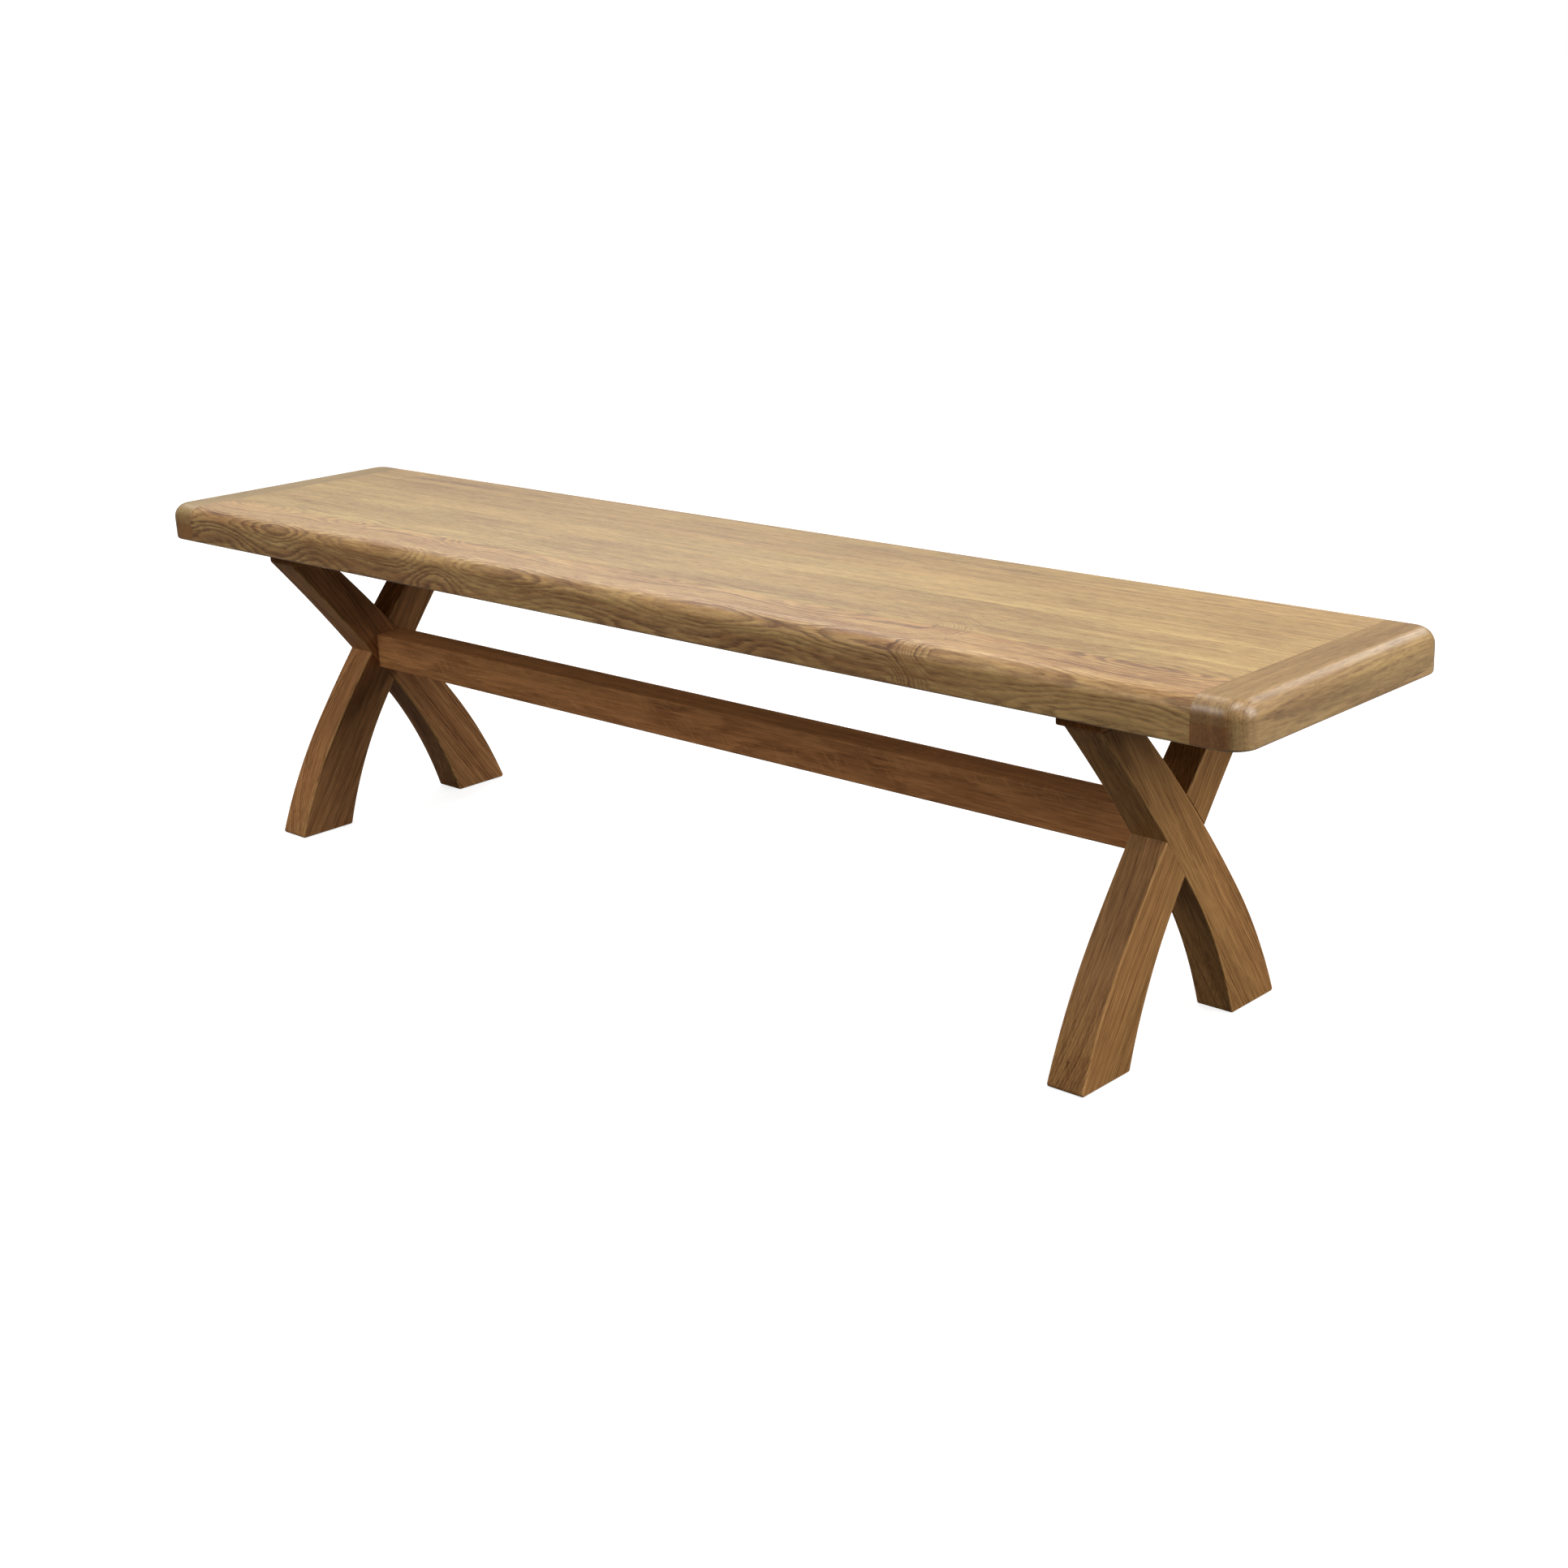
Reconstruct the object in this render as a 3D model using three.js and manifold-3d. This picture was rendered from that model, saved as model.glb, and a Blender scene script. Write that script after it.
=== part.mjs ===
import * as THREE from "three";
import { mergeVertices } from "three/addons/utils/BufferGeometryUtils.js";
import Module from "manifold-3d";

// An oak dining bench: a thick seat with cleated ends on two crossed leg frames, tied by one stretcher.
// Millimetres. X runs along the bench, -Y is the front, Z is up, and the floor is at zero.

// Seat sizes
const benchLength = 1770;
const benchHeight = 450;
const seatDepth = 376;
const seatThickness = 48;
const seatCornerRadius = 28;
const seatEdgeRadius = 19;
const seatLowerArris = 3;
const railWidth = 70;
const staveCount = 4;
const cleatWidth = 58;

// Loose tongues that hold the cleats to the ends of the boards
const tongueThickness = 10;
const tongueWidth = 24;
const tongueSetback = 35;

// Leg frame sizes
const frameInset = 185;
const legThickness = 47;
const legArris = 2;
const footSpread = 363;
const footWidth = 84.5;
const footFillet = 3;

// The two long edges of a leg, each a tight sweep at the foot and a flatter one above it
const backEdgeFootLean = THREE.MathUtils.degToRad(69);
const backEdgeSweep = THREE.MathUtils.degToRad(14.6);
const backEdgeLowerRadius = 680;
const backEdgeUpperRadius = 2070;
const frontEdgeFootLean = THREE.MathUtils.degToRad(73.6);
const frontEdgeSweep = THREE.MathUtils.degToRad(18.1);
const frontEdgeLowerRadius = 568;
const frontEdgeUpperRadius = 2500;

// Bearers between the legs and the seat
const bearerThickness = 20;
const bearerOverhang = 10;
const bearerEndProud = 1.2;
const bearerCornerRadius = 3;
const bearerArris = 2.5;

// Stretcher and the dowels at its ends
const stretcherHeight = 48;
const stretcherDepth = 48;
const stretcherArris = 2.5;
const dowelDiameter = 10;
const dowelLength = 38;
const dowelSpacingShare = 0.5;

// Countersunk screws
const screwDiameter = 4.5;
const screwHeadDiameter = 9;
const screwHeadHeight = 2.8;
const screwTipLength = 6;
const screwRecess = 0.5;
const seatScrewBite = 25;
const legScrewBite = 34;
const seatScrewPlaceShares = [-0.78, -0.32, 0.32, 0.78];
const legScrewSpacingShare = 0.5;

// Fits, and the overrun of every cutting tool
const glueGap = 0.3;
const overrun = 5;

// Facets
const seatCornerSteps = 6;
const cornerSteps = 3;
const seatEdgeSteps = 6;
const arrisSteps = 2;
const sweepSteps = 6;
const roundSides = 12;
const closingRounds = 40;

// Places worked out from the sizes above
const seatBottom = benchHeight - seatThickness;
const laminationLevel = seatBottom + seatThickness / 2;
const legTop = seatBottom - bearerThickness;
const frameOuterFace = benchLength / 2 - frameInset;
const frameInnerFace = frameOuterFace - legThickness;
const frameMiddle = (frameOuterFace + frameInnerFace) / 2;
const boardEnd = benchLength / 2 - cleatWidth;
const railInnerFace = seatDepth / 2 - railWidth;
const bearerWidth = legThickness + bearerOverhang;
const bearerMiddle = frameOuterFace - bearerWidth / 2;

const wasm = await Module();
wasm.setup();

// Turning three.js shapes into solids that can be cut, and back
function solidOf(geometry) {
  const bare = geometry.clone();
  bare.deleteAttribute("normal");
  bare.deleteAttribute("uv");
  const merged = mergeVertices(bare);
  const mesh = new wasm.Mesh({
    numProp: 3,
    vertProperties: new Float32Array(merged.attributes.position.array),
    triVerts: new Uint32Array(merged.index.array),
  });
  return new wasm.Manifold(mesh);
}

function geometryOf(solid) {
  const mesh = solid.getMesh();
  const geometry = new THREE.BufferGeometry();
  geometry.setAttribute("position", new THREE.BufferAttribute(mesh.vertProperties, mesh.numProp));
  geometry.setIndex(new THREE.BufferAttribute(mesh.triVerts, 1));
  geometry.computeVertexNormals();
  return geometry;
}

function boxBetween(low, high) {
  const box = new THREE.BoxGeometry(high[0] - low[0], high[1] - low[1], high[2] - low[2]);
  box.translate((low[0] + high[0]) / 2, (low[1] + high[1]) / 2, (low[2] + high[2]) / 2);
  return solidOf(box);
}

// Materials: each piece has its own
function oak(color, roughness) {
  return new THREE.MeshStandardMaterial({ color, roughness, metalness: 0 });
}

function steel() {
  return new THREE.MeshStandardMaterial({ color: 0xb9b6ae, roughness: 0.4, metalness: 0.9 });
}

function piece(name, solid, material) {
  const mesh = new THREE.Mesh(geometryOf(solid), material);
  mesh.name = name;
  return mesh;
}

// A rectangle with round corners, as points anticlockwise, drawn in from its outline by an inset
function roundedOutline(length, width, cornerRadius, inset, steps) {
  const points = [];
  const corners = [[1, 1], [-1, 1], [-1, -1], [1, -1]];
  const radius = cornerRadius - inset;
  corners.forEach(([sideX, sideY], quarter) => {
    const centreX = sideX * (length / 2 - cornerRadius);
    const centreY = sideY * (width / 2 - cornerRadius);
    for (let step = 0; step <= steps; step += 1) {
      const angle = (quarter + step / steps) * (Math.PI / 2);
      points.push(new THREE.Vector2(centreX + radius * Math.cos(angle), centreY + radius * Math.sin(angle)));
    }
  });
  return points;
}

// The insets and levels that an edge's round takes, from the bottom face of a slab to its top face
function edgeProfile(thickness, lowerRadius, upperRadius, upperSteps) {
  const profile = [];
  for (let step = lowerRadius > 0 ? 0 : arrisSteps; step <= arrisSteps; step += 1) {
    const angle = (step / arrisSteps) * (Math.PI / 2);
    profile.push({ inset: lowerRadius * (1 - Math.sin(angle)), level: lowerRadius * (1 - Math.cos(angle)) });
  }
  for (let step = 0; step <= (upperRadius > 0 ? upperSteps : 0); step += 1) {
    const angle = (step / upperSteps) * (Math.PI / 2);
    profile.push({
      inset: upperRadius * (1 - Math.cos(angle)),
      level: thickness - upperRadius * (1 - Math.sin(angle)),
    });
  }
  return profile;
}

// A slab whose plan is a rounded rectangle and whose edge is worked to a profile all round
function profiledSlab(length, width, cornerRadius, planSteps, profile) {
  const positions = [];
  profile.forEach(({ inset, level }) => {
    roundedOutline(length, width, cornerRadius, inset, planSteps).forEach((point) => {
      positions.push(point.x, point.y, level);
    });
  });
  const count = positions.length / 3 / profile.length;
  const index = [];
  for (let ring = 0; ring + 1 < profile.length; ring += 1) {
    for (let near = 0; near < count; near += 1) {
      const next = (near + 1) % count;
      const low = ring * count;
      const high = low + count;
      index.push(low + near, low + next, high + next, low + near, high + next, high + near);
    }
  }
  const top = (profile.length - 1) * count;
  for (let corner = 1; corner + 1 < count; corner += 1) {
    index.push(0, corner + 1, corner);
    index.push(top, top + corner, top + corner + 1);
  }
  const slab = new THREE.BufferGeometry();
  slab.setAttribute("position", new THREE.Float32BufferAttribute(positions, 3));
  slab.setIndex(index);
  return slab;
}

// A flat outline in Y and Z, made solid along X from a starting face
function alongX(points, startX, length, arris) {
  const solid = new THREE.ExtrudeGeometry(new THREE.Shape(points), {
    depth: length - 2 * arris,
    bevelEnabled: arris > 0,
    bevelThickness: arris,
    bevelSize: arris,
    bevelOffset: -arris,
    bevelSegments: arrisSteps,
  });
  const axes = new THREE.Matrix4();
  axes.makeBasis(new THREE.Vector3(0, 1, 0), new THREE.Vector3(0, 0, 1), new THREE.Vector3(1, 0, 0));
  solid.applyMatrix4(axes);
  solid.translate(startX + arris, 0, 0);
  return solidOf(solid);
}

// Seat: one worked outline, cut into the boards it is glued up from
function seatBlank() {
  const profile = edgeProfile(seatThickness, seatLowerArris, seatEdgeRadius, seatEdgeSteps);
  const slab = profiledSlab(benchLength, seatDepth, seatCornerRadius, seatCornerSteps, profile);
  slab.translate(0, 0, seatBottom);
  return solidOf(slab);
}

function tongueBox(side, clearance) {
  const halfWidth = tongueWidth / 2 + clearance;
  const halfLength = seatDepth / 2 - tongueSetback + clearance;
  const halfThickness = tongueThickness / 2 + clearance;
  return boxBetween(
    [side * boardEnd - halfWidth, -halfLength, laminationLevel - halfThickness],
    [side * boardEnd + halfWidth, halfLength, laminationLevel + halfThickness],
  );
}

// A board of the seat between two faces that stand along it
function seatBoard(name, frontFace, backFace, blank, cuts, color) {
  const board = boxBetween(
    [-boardEnd, frontFace, seatBottom - overrun],
    [boardEnd, backFace, benchHeight + overrun],
  );
  return piece(name, board.intersect(blank).subtract(cuts), oak(color, 0.5));
}

function seatBoards(blank, cuts) {
  const outside = seatDepth / 2 + overrun;
  const boards = [
    seatBoard("seat_front_rail", -outside, -railInnerFace, blank, cuts, 0xb08850),
    seatBoard("seat_back_rail", railInnerFace, outside, blank, cuts, 0xb58b52),
  ];
  const staveWidth = (2 * railInnerFace) / staveCount;
  for (let stave = 0; stave < staveCount; stave += 1) {
    const frontFace = -railInnerFace + stave * staveWidth;
    const backFace = frontFace + staveWidth;
    boards.push(seatBoard(`seat_stave_${stave + 1}`, frontFace, backFace, blank, cuts, 0xc59d60));
  }
  return boards;
}

function seatCleats(blank, grooves) {
  const cleats = [];
  [["left", -1], ["right", 1]].forEach(([sideName, side]) => {
    const ends = [side * boardEnd, side * (benchLength / 2 + overrun)];
    const lowX = Math.min(...ends);
    const highX = Math.max(...ends);
    const halfDepth = seatDepth / 2 + overrun;
    const lower = boxBetween([lowX, -halfDepth, seatBottom - overrun], [highX, halfDepth, laminationLevel]);
    const upper = boxBetween([lowX, -halfDepth, laminationLevel], [highX, halfDepth, benchHeight + overrun]);
    const lowerCut = lower.intersect(blank).subtract(grooves);
    const upperCut = upper.intersect(blank).subtract(grooves);
    cleats.push(piece(`${sideName}_cleat_lower`, lowerCut, oak(0x8f6539, 0.55)));
    cleats.push(piece(`${sideName}_cleat_upper`, upperCut, oak(0xab8050, 0.5)));
    cleats.push(piece(`${sideName}_cleat_tongue`, tongueBox(side, 0), oak(0xb08a58, 0.7)));
  });
  return cleats;
}

// Leg edges: arcs whose lean is the angle between the edge and the floor
function sweptEdge(footY, footLean, sweep, lowerRadius, upperRadius) {
  const joinLean = footLean - sweep;
  const step = upperRadius - lowerRadius;
  const lowerCentre = new THREE.Vector2(
    footY - lowerRadius * Math.sin(footLean),
    -lowerRadius * Math.cos(footLean),
  );
  const upperCentre = new THREE.Vector2(
    lowerCentre.x - step * Math.sin(joinLean),
    lowerCentre.y - step * Math.cos(joinLean),
  );
  return { lowerCentre, upperCentre, lowerRadius, upperRadius, joinLean };
}

function grownEdge(edge, distance) {
  const lowerRadius = edge.lowerRadius + distance;
  const upperRadius = edge.upperRadius + distance;
  return { ...edge, lowerRadius, upperRadius };
}

function edgePoint(edge, lean) {
  const lower = lean > edge.joinLean;
  const centre = lower ? edge.lowerCentre : edge.upperCentre;
  const radius = lower ? edge.lowerRadius : edge.upperRadius;
  return new THREE.Vector2(centre.x + radius * Math.sin(lean), centre.y + radius * Math.cos(lean));
}

function leanAtLevel(edge, level) {
  const upperLean = Math.acos((level - edge.upperCentre.y) / edge.upperRadius);
  const lowerLean = Math.acos((level - edge.lowerCentre.y) / edge.lowerRadius);
  return upperLean > edge.joinLean ? lowerLean : upperLean;
}

function levelAtMiddle(edge) {
  const upperLean = Math.asin(-edge.upperCentre.x / edge.upperRadius);
  const lowerLean = Math.asin(-edge.lowerCentre.x / edge.lowerRadius);
  return edgePoint(edge, upperLean > edge.joinLean ? lowerLean : upperLean).y;
}

// The level at which the middle of a leg's width passes the middle of the bench, closed in on by halves
function levelWhereCentred() {
  let low = crossingBottom;
  let high = crossingTop;
  for (let round = 0; round < closingRounds; round += 1) {
    const level = (low + high) / 2;
    const backY = edgePoint(backEdge, leanAtLevel(backEdge, level)).x;
    const frontY = edgePoint(frontEdge, leanAtLevel(frontEdge, level)).x;
    if (backY + frontY > 0) {
      low = level;
    } else {
      high = level;
    }
  }
  return (low + high) / 2;
}

// The points of an edge from one level up to another, with one where its two arcs join
function edgeRun(edge, fromLevel, toLevel) {
  const startLean = leanAtLevel(edge, fromLevel);
  const endLean = leanAtLevel(edge, toLevel);
  const stops = startLean > edge.joinLean ? [startLean, edge.joinLean, endLean] : [startLean, endLean];
  const points = [edgePoint(edge, startLean)];
  for (let stop = 1; stop < stops.length; stop += 1) {
    for (let step = 1; step <= sweepSteps; step += 1) {
      points.push(edgePoint(edge, THREE.MathUtils.lerp(stops[stop - 1], stops[stop], step / sweepSteps)));
    }
  }
  return points;
}

// A leg runs from its foot at the back up to its top at the front
const backEdge = sweptEdge(
  footSpread / 2, backEdgeFootLean, backEdgeSweep, backEdgeLowerRadius, backEdgeUpperRadius,
);
const frontEdge = sweptEdge(
  footSpread / 2 - footWidth, frontEdgeFootLean, frontEdgeSweep, frontEdgeLowerRadius, frontEdgeUpperRadius,
);
const bearerEnd = bearerEndProud - edgePoint(frontEdge, leanAtLevel(frontEdge, legTop)).x;
const crossingTop = levelAtMiddle(backEdge);
const crossingBottom = levelAtMiddle(frontEdge);
const crossingMiddle = levelWhereCentred();

// A corner of an outline replaced by an arc, as points from its first side to its second
function roundedCorner(corner, before, after, radius) {
  const firstWay = before.clone().sub(corner).normalize();
  const secondWay = after.clone().sub(corner).normalize();
  const halfAngle = Math.acos(firstWay.dot(secondWay)) / 2;
  const bisector = firstWay.clone().add(secondWay).normalize();
  const centre = corner.clone().addScaledVector(bisector, radius / Math.sin(halfAngle));
  const start = corner.clone().addScaledVector(firstWay, radius / Math.tan(halfAngle));
  const turn = -Math.sign(firstWay.cross(secondWay)) * (Math.PI - 2 * halfAngle);
  const points = [];
  for (let step = 0; step <= cornerSteps; step += 1) {
    points.push(start.clone().rotateAround(centre, (turn * step) / cornerSteps));
  }
  return points;
}

function legOutline() {
  const backRun = edgeRun(backEdge, 2 * footFillet, legTop + overrun);
  const frontRun = edgeRun(frontEdge, 2 * footFillet, legTop + overrun).reverse();
  const backCorner = edgePoint(backEdge, leanAtLevel(backEdge, 0));
  const frontCorner = edgePoint(frontEdge, leanAtLevel(frontEdge, 0));
  return [
    ...roundedCorner(backCorner, frontCorner, backRun[0], footFillet),
    ...backRun,
    ...frontRun,
    ...roundedCorner(frontCorner, frontRun[frontRun.length - 1], backCorner, footFillet),
  ];
}

// The same leg round the crossing only, wider by a clearance, for cutting its neighbour
function crossingOutline(clearance) {
  const backRun = edgeRun(grownEdge(backEdge, clearance), crossingBottom - overrun, crossingTop + overrun);
  const frontRun = edgeRun(grownEdge(frontEdge, -clearance), crossingBottom - overrun, crossingTop + overrun);
  return [...backRun, ...frontRun.reverse()];
}

function mirrored(points) {
  return points.map((point) => new THREE.Vector2(-point.x, point.y)).reverse();
}

// Legs: halved into each other where they cross, one whole on the outer side and one on the inner side
function crossedLegs(holes) {
  const trim = boxBetween(
    [frameInnerFace - overrun, -footSpread, -overrun],
    [frameOuterFace + overrun, footSpread, legTop],
  );
  const outerWhole = alongX(legOutline(), frameInnerFace, legThickness, legArris);
  const innerWhole = alongX(mirrored(legOutline()), frameInnerFace, legThickness, legArris);
  const cutLength = legThickness / 2 + glueGap / 2 + overrun;
  const innerCut = alongX(mirrored(crossingOutline(glueGap)), frameInnerFace - overrun, cutLength, 0);
  const outerCut = alongX(crossingOutline(glueGap), frameMiddle - glueGap / 2, cutLength, 0);
  return {
    outerLeg: outerWhole.intersect(trim).subtract(innerCut).subtract(holes),
    innerLeg: innerWhole.intersect(trim).subtract(outerCut).subtract(holes),
  };
}

// Screws stand on their tips along Z; a hole is the same screw made larger
function screwSolid(length, clearance, headRun) {
  const shank = screwDiameter / 2 + clearance;
  const head = screwHeadDiameter / 2 + clearance;
  const profile = [
    new THREE.Vector2(0, -clearance),
    new THREE.Vector2(shank, screwTipLength - clearance),
    new THREE.Vector2(shank, length - screwHeadHeight),
    new THREE.Vector2(head, length),
  ];
  if (headRun > 0) {
    profile.push(new THREE.Vector2(head, length + headRun));
  }
  profile.push(new THREE.Vector2(0, length + headRun));
  const screw = new THREE.LatheGeometry(profile, roundSides);
  screw.rotateX(Math.PI / 2);
  return screw;
}

function placedScrew(place, clearance, headRun) {
  const screw = screwSolid(place.length, clearance, headRun);
  if (!place.pointsDown) {
    screw.rotateX(Math.PI);
  }
  screw.translate(...place.tip);
  return solidOf(screw);
}

// The screws of one frame, by the place of their tips. Seat screws point up, and leg screws point down.
function seatScrewPlaces() {
  const legTopInner = -edgePoint(backEdge, leanAtLevel(backEdge, legTop)).x;
  return seatScrewPlaceShares.map((share, number) => ({
    name: `seat_screw_${number + 1}`,
    tip: [bearerMiddle, share * legTopInner, seatBottom + seatScrewBite],
    length: bearerThickness + seatScrewBite - screwRecess,
    pointsDown: false,
  }));
}

function legScrewPlaces(frontName, backName) {
  const tipLevel = legTop - legScrewBite;
  const tipFrontY = -edgePoint(frontEdge, leanAtLevel(frontEdge, tipLevel)).x;
  const headBackY = -edgePoint(backEdge, leanAtLevel(backEdge, legTop)).x;
  const places = [];
  [[frontName, -1], [backName, 1]].forEach(([endName, end]) => {
    [["outer", 1], ["inner", -1]].forEach(([faceName, face]) => {
      const x = frameMiddle + face * legScrewSpacingShare * (legThickness / 2);
      places.push({
        name: `${endName}_${faceName}_leg_screw`,
        tip: [x, end * (tipFrontY + headBackY) / 2, tipLevel],
        length: bearerThickness + legScrewBite - screwRecess,
        pointsDown: true,
      });
    });
  });
  return places;
}

function joined(solids) {
  return solids.reduce((whole, solid) => whole.add(solid));
}

function screwHoles(places) {
  return joined(places.map((place) => placedScrew(place, glueGap, overrun)));
}

// Bearer: a batten on the leg tops, flush with their outer faces and proud of their inner ones
function bearerSolid(holes) {
  const profile = edgeProfile(bearerThickness, bearerArris, 0, arrisSteps);
  const bearer = profiledSlab(bearerWidth, 2 * bearerEnd, bearerCornerRadius, arrisSteps, profile);
  bearer.translate(bearerMiddle, 0, legTop);
  return solidOf(bearer).subtract(holes);
}

// Dowels: two at each end of the stretcher, one above the other
function dowelSolid(place, clearance) {
  const radius = dowelDiameter / 2 + clearance;
  const dowel = new THREE.CylinderGeometry(radius, radius, dowelLength + 2 * clearance, roundSides);
  dowel.rotateZ(Math.PI / 2);
  dowel.translate(frameInnerFace, 0, crossingMiddle + place * dowelSpacingShare * (stretcherHeight / 2));
  return solidOf(dowel);
}

function dowelHoles() {
  return joined([dowelSolid(1, glueGap), dowelSolid(-1, glueGap)]);
}

// Stretcher: a square rail between the inner faces of the frames, at the crossings
function stretcherSolid(holes) {
  const outline = roundedOutline(stretcherDepth, stretcherHeight, stretcherArris, 0, arrisSteps);
  outline.forEach((point) => point.setY(point.y + crossingMiddle));
  return alongX(outline, -frameInnerFace, 2 * frameInnerFace, 0).subtract(holes);
}

// One leg frame at the right-hand end; the left one is the same frame turned end for end
function legFrame(sideName, turned) {
  const frontName = turned ? "back" : "front";
  const backName = turned ? "front" : "back";
  const places = [...seatScrewPlaces(), ...legScrewPlaces(frontName, backName)];
  const holes = screwHoles(places);
  const { outerLeg, innerLeg } = crossedLegs(holes.add(dowelHoles()));
  const frame = new THREE.Group();
  frame.add(piece(`${sideName}_leg_${backName}_foot`, outerLeg, oak(0x8c6238, 0.55)));
  frame.add(piece(`${sideName}_leg_${frontName}_foot`, innerLeg, oak(0x84592f, 0.55)));
  frame.add(piece(`${sideName}_bearer`, bearerSolid(holes), oak(0x7d542d, 0.6)));
  frame.add(piece(`${sideName}_stretcher_dowel_upper`, dowelSolid(1, 0), oak(0xc9ab7c, 0.7)));
  frame.add(piece(`${sideName}_stretcher_dowel_lower`, dowelSolid(-1, 0), oak(0xc9ab7c, 0.7)));
  places.forEach((place) => {
    frame.add(piece(`${sideName}_${place.name}`, placedScrew(place, 0, 0), steel()));
  });
  frame.rotation.z = turned ? Math.PI : 0;
  return frame;
}

function turnedCopy(solid) {
  const geometry = geometryOf(solid);
  geometry.rotateZ(Math.PI);
  return solidOf(geometry);
}

// The bench
const bench = new THREE.Group();
const blank = seatBlank();
const grooves = tongueBox(-1, glueGap).add(tongueBox(1, glueGap));
const seatScrewHoles = screwHoles(seatScrewPlaces());
const boardCuts = joined([grooves, seatScrewHoles, turnedCopy(seatScrewHoles)]);
bench.add(...seatBoards(blank, boardCuts), ...seatCleats(blank, grooves));
bench.add(legFrame("right", false), legFrame("left", true));
const stretcher = stretcherSolid(dowelHoles().add(turnedCopy(dowelHoles())));
bench.add(piece("stretcher", stretcher, oak(0x7f572f, 0.55)));

export default bench;
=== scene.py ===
import math

import bmesh
import bpy
from mathutils import Matrix, Vector


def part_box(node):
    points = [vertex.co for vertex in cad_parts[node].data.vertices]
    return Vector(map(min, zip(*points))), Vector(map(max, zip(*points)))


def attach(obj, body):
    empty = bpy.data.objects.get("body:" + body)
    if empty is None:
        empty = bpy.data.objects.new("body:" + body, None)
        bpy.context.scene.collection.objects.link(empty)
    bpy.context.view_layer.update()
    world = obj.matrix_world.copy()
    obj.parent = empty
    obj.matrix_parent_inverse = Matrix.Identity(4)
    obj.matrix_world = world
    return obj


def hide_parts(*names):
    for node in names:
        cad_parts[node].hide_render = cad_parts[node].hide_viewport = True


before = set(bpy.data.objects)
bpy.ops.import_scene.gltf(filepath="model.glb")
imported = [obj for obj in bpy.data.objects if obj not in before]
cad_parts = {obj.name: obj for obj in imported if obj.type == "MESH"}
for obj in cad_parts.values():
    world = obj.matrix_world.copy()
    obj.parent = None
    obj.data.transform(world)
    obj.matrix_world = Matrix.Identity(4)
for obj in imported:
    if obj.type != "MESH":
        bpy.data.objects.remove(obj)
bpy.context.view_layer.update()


# Seat boards
# Two oak rails with four narrower staves between them, glued edge to edge and planed flat. The whole seat
# is then worked as one: round corners, a full round along the upper edge and an arris along the lower one.

front_rail_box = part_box("seat_front_rail")
back_rail_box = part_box("seat_back_rail")
seat_low = Vector((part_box("left_cleat_lower")[0].x, front_rail_box[0].y, front_rail_box[0].z))
seat_high = Vector((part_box("right_cleat_upper")[1].x, back_rail_box[1].y, back_rail_box[1].z))
seat_corner_radius = 0.028
seat_edge_radius = 0.019
seat_lower_arris = 0.003
seat_corner_steps = 14
seat_edge_steps = 14
seat_arris_steps = 4
glue_line = 0.00025


def add_node(tree, kind, *sources, **settings):
    """A shader node, its inputs fed in order by sockets or plain values. None leaves an input alone."""
    new = tree.nodes.new("ShaderNode" + kind)
    for setting, value in settings.items():
        setattr(new, setting, value)
    for socket, source in zip(new.inputs, sources):
        if isinstance(source, bpy.types.NodeSocket):
            tree.links.new(source, socket)
        elif source is not None:
            socket.default_value = source
    return new


def sums(tree, operation, *sources):
    """The outcome of a sum on plain numbers."""
    return add_node(tree, "Math", *sources, operation=operation).outputs[0]


def step_between(tree, value, low, high):
    """A soft step from 0 at low to 1 at high."""
    step = add_node(tree, "MapRange", value, low, high, 0.0, 1.0, interpolation_type="SMOOTHSTEP")
    return step.outputs[0]


def noise(tree, place, stretch, detail=2.0, roughness=0.5):
    """Noise from 0 to 1 at a place, with so many features to the metre along each axis."""
    stretched = add_node(tree, "VectorMath", place, stretch, operation="MULTIPLY").outputs[0]
    return add_node(tree, "TexNoise", stretched, None, 1.0, detail, roughness).outputs[0]


def mixed(tree, amount, first, second, blend="MIX"):
    """Two colours mixed by an amount."""
    mix = add_node(tree, "Mix", data_type="RGBA", blend_type=blend)
    for number, source in ((0, amount), (6, first), (7, second)):
        if isinstance(source, bpy.types.NodeSocket):
            tree.links.new(source, mix.inputs[number])
        else:
            mix.inputs[number].default_value = source
    return mix.outputs[2]


def tint(red, green, blue):
    """A colour as a painter's chart gives it, from 0 to 255, made linear for the shader."""
    def linear(part):
        share = part / 255
        return share / 12.92 if share <= 0.04045 else ((share + 0.055) / 1.055) ** 2.4
    return linear(red), linear(green), linear(blue), 1.0


def open_group(name, inputs, outputs):
    """An empty node group, its tree, its inputs by name and its output node."""
    group = bpy.data.node_groups.new(name, "ShaderNodeTree")
    for socket_name, kind in inputs.items():
        group.interface.new_socket(socket_name, in_out="INPUT", socket_type="NodeSocket" + kind)
    for socket_name, kind in outputs.items():
        group.interface.new_socket(socket_name, in_out="OUTPUT", socket_type="NodeSocket" + kind)
    return group, group.nodes.new("NodeGroupInput").outputs, group.nodes.new("NodeGroupOutput")


def close_group(group, output, values):
    """The group with its outputs fed."""
    for socket_name, value in values.items():
        group.links.new(value, output.inputs[socket_name])
    return group


def moved_by_seed(group, given, stride):
    """The place that a group is given, moved by a stride for each whole seed, so that boards differ."""
    seed, place = given["Seed"], given["Place"]
    return add_node(group, "VectorMath", seed, stride, place, operation="MULTIPLY_ADD").outputs[0]


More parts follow.
